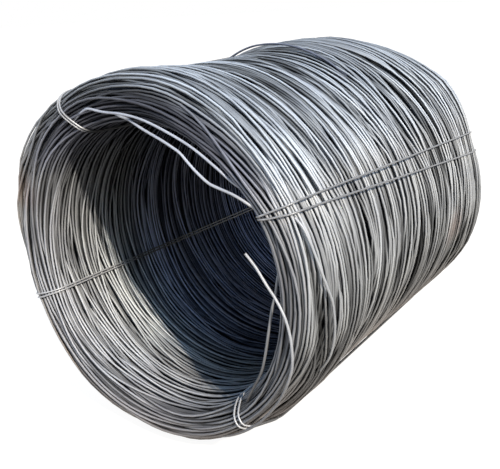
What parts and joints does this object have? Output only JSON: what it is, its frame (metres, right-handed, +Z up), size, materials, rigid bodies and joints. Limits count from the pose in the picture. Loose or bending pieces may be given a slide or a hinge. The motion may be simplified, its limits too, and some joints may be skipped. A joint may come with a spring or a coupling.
{
  "type": "coil of wire rod",
  "caption": "Thick-walled coil of hot-rolled steel wire rod lying on its side, held by double wire ties, with loose turns and a free end in the mouth of its open bore.",
  "frame": {"origin": "on the floor under the middle of the coil, which lies on its side", "axes": "+X along the coil's axis, away from the end with the loose turns; +Z up"},
  "size_m": [1.4532, 1.2558, 1.2578],
  "materials": {
    "rod": "hot-rolled grey mill scale, satin, with faint rust tints",
    "tie_wire": "bright drawn wire, satin"
  },
  "bodies": {
    "root": {"rod_coil": "rod", "wire_tie_1_a": "tie_wire", "wire_tie_1_b": "tie_wire", "wire_tie_2_a": "tie_wire", "wire_tie_2_b": "tie_wire", "wire_tie_3_a": "tie_wire", "wire_tie_3_b": "tie_wire", "wire_tie_4_a": "tie_wire", "wire_tie_4_b": "tie_wire"}
  },
  "joints": []
}
